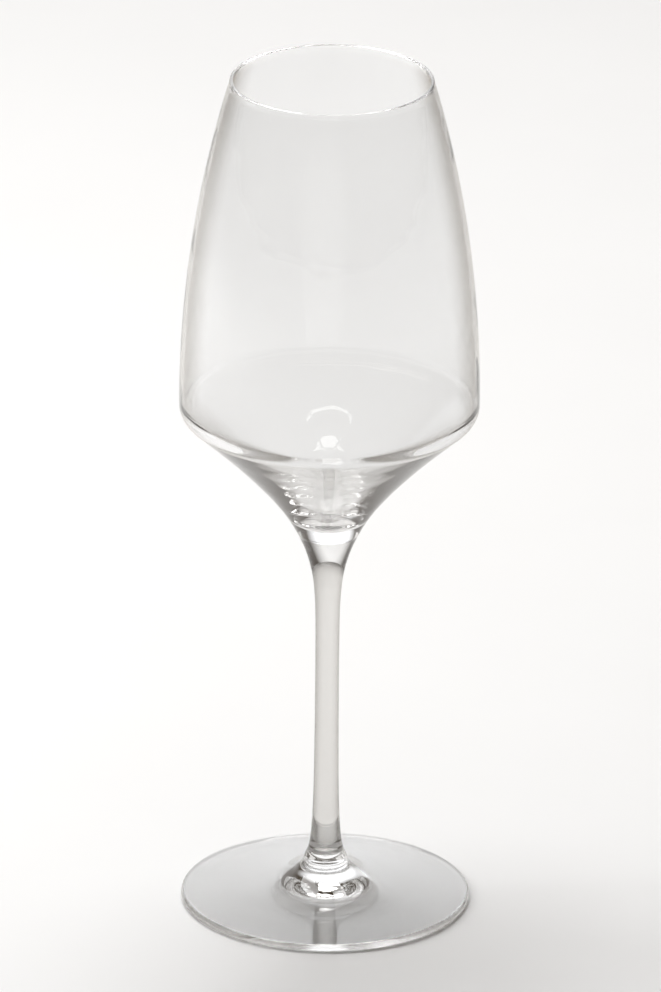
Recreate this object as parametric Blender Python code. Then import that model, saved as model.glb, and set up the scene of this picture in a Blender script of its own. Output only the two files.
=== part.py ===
"""Stemmed wine glass: a blown bowl, a drawn stem and a pressed foot, fused to each other by heat.

Every piece is a turned solid about the Z axis. Profiles are lists of (radius, height) points in
millimetres, measured from the centre of the foot's underside, and they are scaled to metres when
a mesh is made.
"""

import math

import bmesh
import bpy
from mathutils import Vector

MM = 0.001

# Driving dimensions, in millimetres.
HEIGHT = 232.0              # foot's underside to the top of the lip
RIM_RADIUS = 26.8           # outer wall, carried up to the lip's height
BOWL_RADIUS = 39.65         # outer wall at its widest
WIDEST_HEIGHT = 142.4       # where the bowl is widest
SHOULDER_HEIGHT = 139.0     # corner between the cone and the wall, before it is rounded
SHOULDER_ROUNDING = 4.6
STEM_RADIUS = 3.16          # at the stem's waist
FOOT_RADIUS = 38.35
FOOT_EDGE_HEIGHT = 2.1      # thickness of the foot's rounded edge

# Inside of the cup.
LIP_WALL = 1.0              # glass thickness at the lip
BODY_WALL = 1.2             # at the widest place
INNER_SHOULDER_HEIGHT = 139.7
INNER_ROUNDING = 8.0        # fuller than outside: glass gathers in the corner
INNER_CONE_TOP = (31.8, 134.0)
INNER_CONE_FOOT = (9.8, 113.0)
INNER_CONE_BEND = 6.0       # degrees that the cone's side turns on its way down
CUP_POINT_RADIUS = 12.2     # ball-shaped bottom of the cup

# Where the three pieces are fused.
BOWL_JOINT = (8.0, 104.0)   # circle where the bowl's base meets the stem's flared top
BOWL_SEAT_DEPTH = 2.4       # how far the bowl's base bulges down into the stem
FOOT_JOINT = (5.55, 12.0)   # circle where the stem's base meets the foot
GAP = 0.3                   # clearance left between two fused faces

# Outer curve of the stem and of the bowl's cone, from the foot up to the shoulder.
SIDE = [FOOT_JOINT, (4.5, 14.8), (3.85, 20.0), (3.4, 30.0), (3.22, 46.0), (STEM_RADIUS, 62.0),
        (3.18, 72.0), (3.24, 80.0), (3.46, 86.0), (4.07, 92.0), (5.54, 98.0), BOWL_JOINT,
        (11.46, 110.0), (16.08, 116.0), (21.54, 122.0), (27.52, 128.0), (34.0, 134.0)]

# Underside of the foot: a narrow flat resting ring around a shallow hollow.
REST_OUTER = FOOT_RADIUS - 0.5 * FOOT_EDGE_HEIGHT
REST_INNER = 36.3
HOLLOW_DEPTH = 3.0

BOWL_SEGMENTS = 48
STEM_SEGMENTS = 24
FOOT_SEGMENTS = 48


def arc(centre, radius, start, end, steps):
    """Points on a circle from one angle to another, in degrees; 0 points away from the axis."""
    points = []
    for step in range(steps + 1):
        angle = math.radians(start + (end - start) * step / steps)
        points.append(Vector((centre[0] + radius * math.cos(angle),
                              centre[1] + radius * math.sin(angle))))
    return points


def smooth(points, steps):
    """Catmull-Rom curve through the given points."""
    knots = [Vector(point) for point in points]
    knots = [2 * knots[0] - knots[1]] + knots + [2 * knots[-1] - knots[-2]]
    curve = []
    for before, start, end, after in zip(knots, knots[1:], knots[2:], knots[3:]):
        for step in range(steps):
            t = step / steps
            curve.append(0.5 * (2 * start + (end - before) * t
                                + (2 * before - 5 * start + 4 * end - after) * t ** 2
                                + (3 * start - before - 3 * end + after) * t ** 3))
    curve.append(knots[-2])
    return curve


def bowed(start, end, bend, steps):
    """Arc from one point down to another that turns by the given angle, in degrees."""
    start, end = Vector(start), Vector(end)
    along = end - start
    radius = along.length / (2 * math.sin(math.radians(bend / 2)))
    square = Vector((-along.y, along.x)).normalized()
    centre = (start + end) / 2 + square * radius * math.cos(math.radians(bend / 2))
    first = start - centre
    angle = math.degrees(math.atan2(first.y, first.x))
    return arc(centre, radius, angle, angle + bend, steps)


def rounded_corner(before, corner, after, radius, steps):
    """Arc that rounds the corner between two straight runs."""
    before, corner, after = Vector(before), Vector(corner), Vector(after)
    arriving = (before - corner).normalized()
    leaving = (after - corner).normalized()
    half = arriving.angle(leaving) / 2
    centre = corner + (arriving + leaving).normalized() * radius / math.sin(half)
    first = corner + arriving * radius / math.tan(half) - centre
    last = corner + leaving * radius / math.tan(half) - centre
    start = math.degrees(math.atan2(first.y, first.x))
    sweep = math.degrees(math.atan2(last.y, last.x)) - start
    return arc(centre, radius, start, start + sweep, steps)


def dome(edge, depth, steps):
    """Shallow spherical cap from its edge circle down to the axis."""
    radius = (edge[0] ** 2 + depth ** 2) / (2 * depth)
    half_angle = math.degrees(math.asin(edge[0] / radius))
    return arc((0, edge[1] - depth + radius), radius, -90 + half_angle, -90, steps)


def cone_point(above, below, radius, steps):
    """Ball-shaped end of a cone: from the cone's side, given by two of its points, to the axis."""
    half_angle = math.atan2(above[0] - below[0], above[1] - below[1])
    apex = below[1] - below[0] / math.tan(half_angle)
    centre = (0, apex + radius / math.sin(half_angle))
    return arc(centre, radius, -math.degrees(half_angle), -90, steps)


def turned(name, profile, segments, material):
    """Solid of revolution from a closed profile that starts and ends on the axis."""
    mesh = bmesh.new()
    verts = [mesh.verts.new((point[0] * MM, 0, point[1] * MM)) for point in profile]
    edges = [mesh.edges.new(pair) for pair in zip(verts, verts[1:])]
    bmesh.ops.spin(mesh, geom=verts + edges, cent=(0, 0, 0), axis=(0, 0, 1),
                   angle=math.tau, steps=segments, use_merge=True)
    bmesh.ops.remove_doubles(mesh, verts=mesh.verts[:], dist=0.005 * MM)
    bmesh.ops.recalc_face_normals(mesh, faces=mesh.faces[:])
    data = bpy.data.meshes.new(name)
    mesh.to_mesh(data)
    mesh.free()
    data.shade_smooth()
    data.set_sharp_from_angle(angle=math.radians(35))
    data.materials.append(material)
    piece = bpy.data.objects.new(name, data)
    bpy.context.collection.objects.link(piece)
    return piece


def glass(name, colour):
    """Clear glass with a faint tint of its own."""
    material = bpy.data.materials.new(name)
    material.use_nodes = True
    shader = material.node_tree.nodes["Principled BSDF"]
    shader.inputs["Base Color"].default_value = (*colour, 1)
    shader.inputs["Metallic"].default_value = 0
    shader.inputs["Roughness"].default_value = 0.02
    shader.inputs["Transmission Weight"].default_value = 1
    shader.inputs["IOR"].default_value = 1.52
    return material


def side_wall(widest, rim, low, high, steps):
    """The bowl's side: one large arc, upright where the bowl is widest, leaning in to the rim."""
    rise = high - WIDEST_HEIGHT
    radius = (rise ** 2 + (widest - rim) ** 2) / (2 * (widest - rim))
    start = math.degrees(math.asin((low - WIDEST_HEIGHT) / radius))
    end = math.degrees(math.asin(rise / radius))
    return arc((widest - radius, WIDEST_HEIGHT), radius, start, end, steps)


def outer_side(steps):
    """Outer curve of the stem and the cone, split where the bowl meets the stem."""
    curve = smooth(SIDE, steps)
    split = SIDE.index(BOWL_JOINT) * steps
    return curve[:split + 1], curve[split:]


def bowl_outside():
    """Outer surface, from the joint with the stem up to the base of the lip."""
    lip_base = HEIGHT - LIP_WALL / 2
    wall = side_wall(BOWL_RADIUS, RIM_RADIUS, SHOULDER_HEIGHT, lip_base, 9)
    cone = outer_side(2)[1]
    shoulder = rounded_corner(cone[-1], wall[0], wall[1], SHOULDER_ROUNDING, 6)
    return cone + shoulder + [point for point in wall if point.y > shoulder[-1].y + 1]


def bowl_lip():
    """Fire-polished lip: a half round over the top of the wall."""
    centre = (RIM_RADIUS - LIP_WALL / 2, HEIGHT - LIP_WALL / 2)
    return arc(centre, LIP_WALL / 2, 0, 180, 6)[1:-1]


def bowl_inside():
    """Inner surface, from the lip down to the rounded point of the cup."""
    lip_base = HEIGHT - LIP_WALL / 2
    wall = side_wall(BOWL_RADIUS - BODY_WALL, RIM_RADIUS - LIP_WALL,
                     INNER_SHOULDER_HEIGHT, lip_base, 9)
    wall.reverse()
    cone = bowed(INNER_CONE_TOP, INNER_CONE_FOOT, INNER_CONE_BEND, 6)
    shoulder = rounded_corner(wall[-2], wall[-1], cone[0], INNER_ROUNDING, 6)
    point = cone_point(cone[-2], cone[-1], CUP_POINT_RADIUS, 5)
    return [ring for ring in wall if ring.y > shoulder[0].y + 1] + shoulder + cone + point


def bowl():
    """Thin blown cup on a thick conical base, with a domed underside that sits in the stem."""
    base = dome((BOWL_JOINT[0], BOWL_JOINT[1]), BOWL_SEAT_DEPTH, 5)
    base.reverse()
    profile = base[:-1] + bowl_outside() + bowl_lip() + bowl_inside()
    return turned("bowl", profile, BOWL_SEGMENTS, glass("bowl_glass", (0.97, 0.975, 0.97)))


def stem():
    """Solid drawn rod: a flared cup at the top, a slim waist and a spread base."""
    top_edge = (BOWL_JOINT[0] - 0.15, BOWL_JOINT[1] - GAP)
    base_edge = (FOOT_JOINT[0], FOOT_JOINT[1] + GAP / 2)
    side = outer_side(2)[0]
    profile = [Vector((0, base_edge[1])), base_edge] + side[1:-1] + dome(top_edge, BOWL_SEAT_DEPTH, 4)
    return turned("stem", profile, STEM_SEGMENTS, glass("stem_glass", (0.95, 0.955, 0.945)))


def foot():
    """Wide disc with a drawn-up centre, a rounded edge and a shallow hollow underneath."""
    top = FOOT_JOINT[1] - GAP / 2
    edge_radius = FOOT_EDGE_HEIGHT / 2
    upper = smooth([(FOOT_JOINT[0], top), (6.2, 10.2), (8.2, 8.0), (13.0, 5.9), (22.0, 3.9),
                    (30.0, 2.7), (REST_OUTER, FOOT_EDGE_HEIGHT)], 3)
    edge = arc((REST_OUTER, edge_radius), edge_radius, 90, -90, 8)
    hollow = smooth([(REST_INNER, 0), (30.0, 0.6), (22.0, 1.5), (13.0, 2.5), (6.0, 2.9),
                     (0, HOLLOW_DEPTH)], 2)
    profile = [Vector((0, top))] + upper + edge[1:] + hollow
    return turned("foot", profile, FOOT_SEGMENTS, glass("foot_glass", (0.95, 0.955, 0.945)))


for leftover in list(bpy.data.objects):
    bpy.data.objects.remove(leftover)
bowl()
stem()
foot()
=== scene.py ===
"""Looks of the wine glass: fine turned meshes in clear glass, on a pale floor in soft light."""

import math

import bmesh
import bpy
from mathutils import Matrix, Vector

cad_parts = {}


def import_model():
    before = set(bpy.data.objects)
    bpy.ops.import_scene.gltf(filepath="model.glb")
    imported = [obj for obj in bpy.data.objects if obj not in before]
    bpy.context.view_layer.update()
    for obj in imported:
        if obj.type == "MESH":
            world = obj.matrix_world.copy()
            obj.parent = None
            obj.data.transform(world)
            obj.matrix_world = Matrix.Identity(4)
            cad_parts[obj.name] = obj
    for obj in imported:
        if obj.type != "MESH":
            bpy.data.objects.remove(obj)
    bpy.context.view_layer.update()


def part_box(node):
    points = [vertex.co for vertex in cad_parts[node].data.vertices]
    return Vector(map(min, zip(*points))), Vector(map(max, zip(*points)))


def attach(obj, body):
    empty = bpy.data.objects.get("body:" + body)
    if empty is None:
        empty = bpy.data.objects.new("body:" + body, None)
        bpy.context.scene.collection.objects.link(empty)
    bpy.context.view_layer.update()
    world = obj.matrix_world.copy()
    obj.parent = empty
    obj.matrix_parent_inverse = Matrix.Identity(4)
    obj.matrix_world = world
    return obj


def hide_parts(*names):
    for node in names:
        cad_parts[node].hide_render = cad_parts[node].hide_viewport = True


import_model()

MM = 0.001

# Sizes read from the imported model, in metres.
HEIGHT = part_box("bowl")[1].z
BOWL_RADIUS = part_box("bowl")[1].x
FOOT_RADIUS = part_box("foot")[1].x

# Shape of the glass, in metres, as the solids have it.
RIM_RADIUS = 26.8 * MM
WIDEST_HEIGHT = 142.4 * MM
SHOULDER_HEIGHT = 139.0 * MM
SHOULDER_ROUNDING = 4.6 * MM
LIP_WALL = 1.0 * MM
BODY_WALL = 1.2 * MM
INNER_SHOULDER_HEIGHT = 139.7 * MM
INNER_ROUNDING = 8.0 * MM
INNER_CONE_TOP = (31.8 * MM, 134.0 * MM)
INNER_CONE_FOOT = (9.8 * MM, 113.0 * MM)
INNER_CONE_BEND = 6.0           # degrees
CUP_POINT_RADIUS = 12.2 * MM
BOWL_JOINT = (8.0 * MM, 104.0 * MM)
BOWL_SEAT_DEPTH = 2.4 * MM
FOOT_JOINT = (5.55 * MM, 12.0 * MM)
FOOT_EDGE_HEIGHT = 2.1 * MM
REST_OUTER = FOOT_RADIUS - FOOT_EDGE_HEIGHT / 2
REST_INNER = 36.3 * MM
HOLLOW_DEPTH = 3.0 * MM

# Outer curve of the stem and of the bowl's cone, in millimetres; the stem's last point is the joint.
STEM_SIDE = [(5.55, 12.0), (4.5, 14.8), (3.85, 20.0), (3.4, 30.0), (3.22, 46.0), (3.16, 62.0),
             (3.18, 72.0), (3.24, 80.0), (3.46, 86.0), (4.07, 92.0), (5.54, 98.0), (8.0, 104.0)]
CONE_SIDE = [(11.46, 110.0), (16.08, 116.0), (21.54, 122.0), (27.52, 128.0), (34.0, 134.0)]

# Top of the foot from its joint outwards, and its hollow from the rest ring inwards, in millimetres.
FOOT_TOP = [(6.2, 10.2), (8.2, 8.0), (13.0, 5.9), (22.0, 3.9), (30.0, 2.7)]
FOOT_HOLLOW = [(30.0, 0.6), (22.0, 1.5), (13.0, 2.5), (6.0, 2.9)]

# Fineness of the meshes: faces around the axis, and steps along each stretch of the profile.
SEGMENTS = 256
WALL_STEPS = 40
CONE_STEPS = 36
POINT_STEPS = 24
OUTER_ROUNDING_STEPS = 16
INNER_ROUNDING_STEPS = 20
LIP_STEPS = 14
SEAT_STEPS = 12
EDGE_STEPS = 16
CURVE_STEPS = 10                # between two given points of a curve
ROUNDING_CLEARANCE = 1 * MM     # the wall has no ring closer than this to a rounding
SAME_POINT = 0.002 * MM
ON_AXIS = 0.001 * MM
SHARP_ANGLE = math.radians(35)

# Material slots of each piece: the glass, and the hidden faces where it is fused to the next piece.
CLEAR = 0
FUSED = 1
GLASS_IOR = 1.52

FLOOR_RADIUS = 3
FLOOR_DROP = 0.1 * MM

# Light of the surroundings: a dim brown room with a bright backdrop, placed as direction() has it.
STUDIO = (0.07, 0.054, 0.038)
BACKDROP = (1.35, 1.36, 1.38)
BACKDROP_AZIMUTH = -172
BACKDROP_ELEVATION = 20
BACKDROP_CORE = 0.94            # cosine of the angle within which it is fully bright
BACKDROP_EDGE = 0.8             # cosine of the angle at which it has faded out
LIGHT_TARGET = Vector((0, 0, 0.15))

# Light runs a long way inside the wall, from the rim down to the cone, before it leaves the glass.
LIGHT_BOUNCES = 256
JOINT_BOUNCES = 24

# Camera: a long lens from a little above the rim, rolled by half a degree.
CAMERA_DISTANCE = 4.3
CAMERA_ELEVATION = math.radians(22.03)
CAMERA_ROLL = math.radians(0.5)
CAMERA_AIM_RIGHT = 0.5 * MM
CAMERA_AIM_UP = -1.2 * MM
LENS = 591.6
SENSOR_WIDTH = 36


def arc(centre, radius, start, end, steps):
    """Points on a circle from one angle to another, in degrees; 0 points away from the axis."""
    points = []
    for step in range(steps + 1):
        angle = math.radians(start + (end - start) * step / steps)
        points.append(Vector((centre[0] + radius * math.cos(angle),
                              centre[1] + radius * math.sin(angle))))
    return points


def smooth(points, steps):
    """Catmull-Rom curve through the given points."""
    knots = [Vector(point) for point in points]
    knots = [2 * knots[0] - knots[1]] + knots + [2 * knots[-1] - knots[-2]]
    curve = []
    for before, start, end, after in zip(knots, knots[1:], knots[2:], knots[3:]):
        for step in range(steps):
            t = step / steps
            curve.append(0.5 * (2 * start + (end - before) * t
                                + (2 * before - 5 * start + 4 * end - after) * t ** 2
                                + (3 * start - before - 3 * end + after) * t ** 3))
    curve.append(knots[-2])
    return curve


def in_metres(points):
    """Profile points given in millimetres."""
    return [Vector(point) * MM for point in points]


def bowed(start, end, bend, steps):
    """Arc from one point down to another that turns by the given angle, in degrees."""
    start, end = Vector(start), Vector(end)
    along = end - start
    radius = along.length / (2 * math.sin(math.radians(bend / 2)))
    square = Vector((-along.y, along.x)).normalized()
    centre = (start + end) / 2 + square * radius * math.cos(math.radians(bend / 2))
    first = start - centre
    angle = math.degrees(math.atan2(first.y, first.x))
    return arc(centre, radius, angle, angle + bend, steps)


def rounded_corner(before, corner, after, radius, steps):
    """Arc that rounds the corner between two straight runs."""
    before, corner, after = Vector(before), Vector(corner), Vector(after)
    arriving = (before - corner).normalized()
    leaving = (after - corner).normalized()
    half = arriving.angle(leaving) / 2
    centre = corner + (arriving + leaving).normalized() * radius / math.sin(half)
    first = corner + arriving * radius / math.tan(half) - centre
    last = corner + leaving * radius / math.tan(half) - centre
    start = math.degrees(math.atan2(first.y, first.x))
    sweep = math.degrees(math.atan2(last.y, last.x)) - start
    return arc(centre, radius, start, start + sweep, steps)


def dome(edge, slant_shade, steps):
    """Shallow spherical cap from its edge circle down to the axis."""
    radius = (edge[0] ** 2 + slant_shade ** 2) / (2 * slant_shade)
    half_angle = math.degrees(math.asin(edge[0] / radius))
    return arc((0, edge[1] - slant_shade + radius), radius, -90 + half_angle, -90, steps)


def cone_point(above, below, radius, steps):
    """Ball-shaped end of a cone: from the cone's side, given by two of its points, to the axis."""
    half_angle = math.atan2(above[0] - below[0], above[1] - below[1])
    apex = below[1] - below[0] / math.tan(half_angle)
    centre = (0, apex + radius / math.sin(half_angle))
    return arc(centre, radius, -math.degrees(half_angle), -90, steps)


def side_wall(widest, rim, low, high, steps):
    """The bowl's side: one large arc, upright where the bowl is widest, leaning in to the rim."""
    rise = high - WIDEST_HEIGHT
    radius = (rise ** 2 + (widest - rim) ** 2) / (2 * (widest - rim))
    start = math.degrees(math.asin((low - WIDEST_HEIGHT) / radius))
    end = math.degrees(math.asin(rise / radius))
    return arc((widest - radius, WIDEST_HEIGHT), radius, start, end, steps)


def profile_rings(stretches):
    """Points of the whole profile with the material of each, without doubled points."""
    rings = []
    owners = []
    for points, material_index in stretches:
        for point in points:
            if rings and (point - rings[-1]).length < SAME_POINT:
                continue
            rings.append(point)
            owners.append(material_index)
    return rings, owners


def ring_of_vertices(mesh, point):
    """One turn of a profile point around the axis; on the axis it is a single vertex."""
    if point.x < ON_AXIS:
        return [mesh.verts.new((0, 0, point.y))] * SEGMENTS
    row = []
    for step in range(SEGMENTS):
        angle = math.tau * step / SEGMENTS
        row.append(mesh.verts.new((point.x * math.cos(angle), point.x * math.sin(angle), point.y)))
    return row


def turned(name, stretches, node):
    """Solid of revolution from stretches of (points, material); they run end to end in the profile."""
    mesh = bmesh.new()
    rings, owners = profile_rings(stretches)
    rows = [ring_of_vertices(mesh, point) for point in rings]
    for low, high, owner in zip(rows, rows[1:], owners[1:]):
        for step in range(SEGMENTS):
            after = (step + 1) % SEGMENTS
            corners = [low[step], low[after], high[after], high[step]]
            unique = list(dict.fromkeys(corners))
            if len(unique) >= 3:
                face = mesh.faces.new(unique)
                face.material_index = owner
                face.smooth = True
    bmesh.ops.recalc_face_normals(mesh, faces=mesh.faces[:])
    data = bpy.data.meshes.new(name)
    mesh.to_mesh(data)
    mesh.free()
    data.set_sharp_from_angle(angle=SHARP_ANGLE)
    piece = bpy.data.objects.new(name, data)
    bpy.context.collection.objects.link(piece)
    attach(piece, "root")
    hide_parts(node)
    return piece


def outer_side():
    """Outer curve of the stem and the cone, split where the bowl meets the stem."""
    curve = smooth(in_metres(STEM_SIDE + CONE_SIDE), CURVE_STEPS)
    split = (len(STEM_SIDE) - 1) * CURVE_STEPS
    return curve[:split + 1], curve[split:]


def bowl_outside():
    """Outer surface, from the joint with the stem up to the base of the lip."""
    lip_base = HEIGHT - LIP_WALL / 2
    wall = side_wall(BOWL_RADIUS, RIM_RADIUS, SHOULDER_HEIGHT, lip_base, WALL_STEPS)
    cone = outer_side()[1]
    shoulder = rounded_corner(cone[-1], wall[0], wall[1], SHOULDER_ROUNDING, OUTER_ROUNDING_STEPS)
    above = [ring for ring in wall if ring.y > shoulder[-1].y + ROUNDING_CLEARANCE]
    return cone + shoulder + above


def bowl_lip():
    """Half round over the top of the wall, without its two ends."""
    centre = (RIM_RADIUS - LIP_WALL / 2, HEIGHT - LIP_WALL / 2)
    return arc(centre, LIP_WALL / 2, 0, 180, LIP_STEPS)[1:-1]


def bowl_inside():
    """Inner surface, from the lip down to the rounded point of the cup."""
    lip_base = HEIGHT - LIP_WALL / 2
    wall = side_wall(BOWL_RADIUS - BODY_WALL, RIM_RADIUS - LIP_WALL,
                     INNER_SHOULDER_HEIGHT, lip_base, WALL_STEPS)
    wall.reverse()
    cone = bowed(INNER_CONE_TOP, INNER_CONE_FOOT, INNER_CONE_BEND, CONE_STEPS)
    shoulder = rounded_corner(wall[-5], wall[-1], cone[0], INNER_ROUNDING, INNER_ROUNDING_STEPS)
    point = cone_point(cone[-2], cone[-1], CUP_POINT_RADIUS, POINT_STEPS)
    above = [ring for ring in wall if ring.y > shoulder[0].y + ROUNDING_CLEARANCE]
    return above + shoulder + cone + point


def bowl_seat():
    """Domed joint between bowl and stem, from the axis out to the surface."""
    seat = dome(BOWL_JOINT, BOWL_SEAT_DEPTH, SEAT_STEPS)
    seat.reverse()
    return seat


def bowl():
    """Cup and cone, with the joint's dome underneath."""
    glass = bowl_outside() + bowl_lip() + bowl_inside()
    return turned("glass_bowl", [(bowl_seat(), FUSED), (glass, CLEAR)], "bowl")


def stem():
    """Rod from the domed joint down to the flat joint with the foot."""
    side = outer_side()[0]
    side.reverse()
    foot_centre = [Vector((0, FOOT_JOINT[1]))]
    return turned("glass_stem", [(bowl_seat(), FUSED), (side, CLEAR), (foot_centre, FUSED)],
                  "stem")


def foot():
    """Disc with a drawn-up centre, a rounded edge and a hollow underside."""
    edge_radius = FOOT_EDGE_HEIGHT / 2
    joint = [Vector((0, FOOT_JOINT[1])), Vector(FOOT_JOINT)]
    upper = smooth([FOOT_JOINT] + in_metres(FOOT_TOP) + [(REST_OUTER, FOOT_EDGE_HEIGHT)], CURVE_STEPS)
    edge = arc((REST_OUTER, edge_radius), edge_radius, 90, -90, EDGE_STEPS)
    hollow = smooth([(REST_INNER, 0)] + in_metres(FOOT_HOLLOW) + [(0, HOLLOW_DEPTH)], CURVE_STEPS)
    return turned("glass_foot", [(joint, FUSED), (upper + edge[1:] + hollow, CLEAR)],
                  "foot")


def noise(nodes, links, place, scale, detail):
    """Noise texture on object coordinates; scale is in cells per metre."""
    texture = nodes.new("ShaderNodeTexNoise")
    texture.inputs["Scale"].default_value = scale
    texture.inputs["Detail"].default_value = detail
    links.new(place.outputs["Object"], texture.inputs["Vector"])
    return texture


def ramp(nodes, links, source, stops):
    """Colour ramp between two stops; each is (position, grey level or colour)."""
    node = nodes.new("ShaderNodeValToRGB")
    for element, (position, colour) in zip(node.color_ramp.elements, stops):
        element.position = position
        element.color = (*colour, 1) if isinstance(colour, tuple) else (colour, colour, colour, 1)
    links.new(source, node.inputs["Fac"])
    return node


def glass_material(name, tint_and_shade, edge_shade, edge_from, ripple):
    """Clear glass with painted shade: its colour darkens where the surface is seen at a slant, partly
    the longer path through tinted glass, partly painted in for the dark room the thick edges show;
    faintly rippled, with a dried film on the polish.
    """
    material = bpy.data.materials.new(name)
    material.use_nodes = True
    nodes, links = material.node_tree.nodes, material.node_tree.links
    shader = nodes["Principled BSDF"]
    shader.inputs["Transmission Weight"].default_value = 1
    shader.inputs["IOR"].default_value = GLASS_IOR
    place = nodes.new("ShaderNodeTexCoord")

    # Painted shade: the base colour runs from the face-on colour to a dark edge colour as the surface
    # turns away from the view.
    slant = nodes.new("ShaderNodeLayerWeight")
    slant_shade = ramp(nodes, links, slant.outputs["Facing"], [(edge_from, tint_and_shade), (0.9, edge_shade)])
    links.new(slant_shade.outputs["Color"], shader.inputs["Base Color"])

    film = noise(nodes, links, place, 55, 5)
    polish = ramp(nodes, links, film.outputs["Fac"], [(0.55, 0.0), (0.8, 0.035)])
    links.new(polish.outputs["Color"], shader.inputs["Roughness"])

    waves = noise(nodes, links, place, 90, 1)
    bump = nodes.new("ShaderNodeBump")
    bump.inputs["Strength"].default_value = 1
    bump.inputs["Distance"].default_value = ripple
    links.new(waves.outputs["Fac"], bump.inputs["Height"])
    links.new(bump.outputs["Normal"], shader.inputs["Normal"])
    return material


def fused_material(name):
    """Lets light through the hidden faces where two pieces are fused into one glass."""
    material = bpy.data.materials.new(name)
    material.use_nodes = True
    nodes = material.node_tree.nodes
    nodes.remove(nodes["Principled BSDF"])
    shader = nodes.new("ShaderNodeBsdfTransparent")
    material.node_tree.links.new(shader.outputs[0], nodes["Material Output"].inputs["Surface"])
    return material


def floor_material():
    """Matt white paint with slight mottling."""
    material = bpy.data.materials.new("floor_paint")
    material.use_nodes = True
    nodes, links = material.node_tree.nodes, material.node_tree.links
    shader = nodes["Principled BSDF"]
    shader.inputs["Roughness"].default_value = 0.85
    shader.inputs["Specular IOR Level"].default_value = 0.1
    place = nodes.new("ShaderNodeTexCoord")
    mottle = noise(nodes, links, place, 9, 4)
    paint = ramp(nodes, links, mottle.outputs["Fac"],
                 [(0.3, (0.870, 0.870, 0.868)), (0.7, (0.886, 0.886, 0.884))])
    links.new(paint.outputs["Color"], shader.inputs["Base Color"])
    return material


def floor():
    """Pale round table top, a hair below the foot."""
    mesh = bmesh.new()
    bmesh.ops.create_circle(mesh, cap_ends=True, radius=FLOOR_RADIUS, segments=96)
    data = bpy.data.meshes.new("floor")
    mesh.to_mesh(data)
    mesh.free()
    data.materials.append(floor_material())
    piece = bpy.data.objects.new("floor", data)
    piece.location.z = -FLOOR_DROP
    bpy.context.collection.objects.link(piece)


def direction(azimuth, elevation):
    """Unit vector away from the glass, from degrees; azimuth 0 is the camera's side, 90 its right."""
    a, e = math.radians(azimuth), math.radians(elevation)
    return Vector((math.sin(a) * math.cos(e), -math.cos(a) * math.cos(e), math.sin(e)))


def world():
    """Dim warm studio with one soft bright backdrop low down behind the glass."""
    surroundings = bpy.data.worlds.new("surroundings")
    bpy.context.scene.world = surroundings
    surroundings.use_nodes = True
    nodes, links = surroundings.node_tree.nodes, surroundings.node_tree.links
    place = nodes.new("ShaderNodeTexCoord")
    towards = nodes.new("ShaderNodeVectorMath")
    towards.operation = "DOT_PRODUCT"
    towards.inputs[1].default_value = direction(BACKDROP_AZIMUTH, BACKDROP_ELEVATION)
    links.new(place.outputs["Generated"], towards.inputs[0])
    glow = ramp(nodes, links, towards.outputs["Value"],
                [(BACKDROP_EDGE, STUDIO), (BACKDROP_CORE, BACKDROP)])
    links.new(glow.outputs["Color"], nodes["Background"].inputs["Color"])


def area_light(name, azimuth, elevation, distance, width, height, power):
    """Soft rectangular light aimed at the bowl; sizes in metres, power in watts."""
    away = direction(azimuth, elevation)
    light = bpy.data.lights.new(name, "AREA")
    light.shape = "RECTANGLE"
    light.size, light.size_y = width, height
    light.energy = power
    lamp = bpy.data.objects.new(name, light)
    lamp.location = LIGHT_TARGET + away * distance
    lamp.rotation_euler = (-away).to_track_quat("-Z", "Y").to_euler()
    lamp.visible_camera = False
    bpy.context.collection.objects.link(lamp)
    return lamp


def table_light(name, *placing):
    """Area light that brightens the table only; the glass shows no image of it."""
    lamp = area_light(name, *placing)
    lamp.visible_glossy = False
    lamp.visible_transmission = False


def camera():
    """Long lens aimed at the middle of the glass."""
    lens = bpy.data.cameras.new("camera")
    lens.lens = LENS
    lens.sensor_width = SENSOR_WIDTH
    lens.clip_start, lens.clip_end = 0.1, 50
    eye = bpy.data.objects.new("camera", lens)
    bpy.context.collection.objects.link(eye)
    back = Vector((0, -math.cos(CAMERA_ELEVATION), math.sin(CAMERA_ELEVATION)))
    turn = (-back).to_track_quat("-Z", "Y").to_matrix()
    right, up = turn.col[0], turn.col[1]
    aim = Vector((0, 0, HEIGHT / 2)) + right * CAMERA_AIM_RIGHT + up * CAMERA_AIM_UP
    eye.location = aim + back * CAMERA_DISTANCE
    eye.rotation_euler = (turn @ Matrix.Rotation(CAMERA_ROLL, 3, "Z")).to_euler()
    bpy.context.scene.camera = eye


# Each glass: face-on colour, painted edge shade, where that shade starts, ripple height. The stem's
# deeper grey face-on colour is partly painted shade for the dimmer table seen through it; the bowl's
# and foot's are the glass's own faint tint.
thin_glass = glass_material("thin_glass", (0.94, 0.942, 0.942), (0.25, 0.215, 0.17), 0.5, 0.1 * MM)
rod_glass = glass_material("rod_glass", (0.78, 0.768, 0.748), (0.12, 0.1, 0.075), 0.12, 0.006 * MM)
solid_glass = glass_material("solid_glass", (0.985, 0.983, 0.978), (0.9, 0.89, 0.87), 0.5, 0.006 * MM)
fused = fused_material("fused_joint")
for piece, clear in ((bowl(), thin_glass), (stem(), rod_glass), (foot(), solid_glass)):
    piece.data.materials.append(clear)
    piece.data.materials.append(fused)
floor()
world()
area_light("overhead", -158, 68, 1.4, 1.2, 0.9, 18)
table_light("table_light", -100, 30, 0.85, 0.5, 0.5, 3)
table_light("far_table_light", 180, 50, 2.0, 1.5, 1.0, 3)
area_light("lamp", 180, 55, 1.3, 0.06, 0.06, 0.5)
area_light("ceiling", 0, 70, 1.3, 0.9, 0.025, 0.3)
camera()

scene = bpy.context.scene
scene.view_settings.view_transform = "Standard"
scene.cycles.max_bounces = LIGHT_BOUNCES
scene.cycles.glossy_bounces = LIGHT_BOUNCES
scene.cycles.transmission_bounces = LIGHT_BOUNCES
scene.cycles.transparent_max_bounces = JOINT_BOUNCES
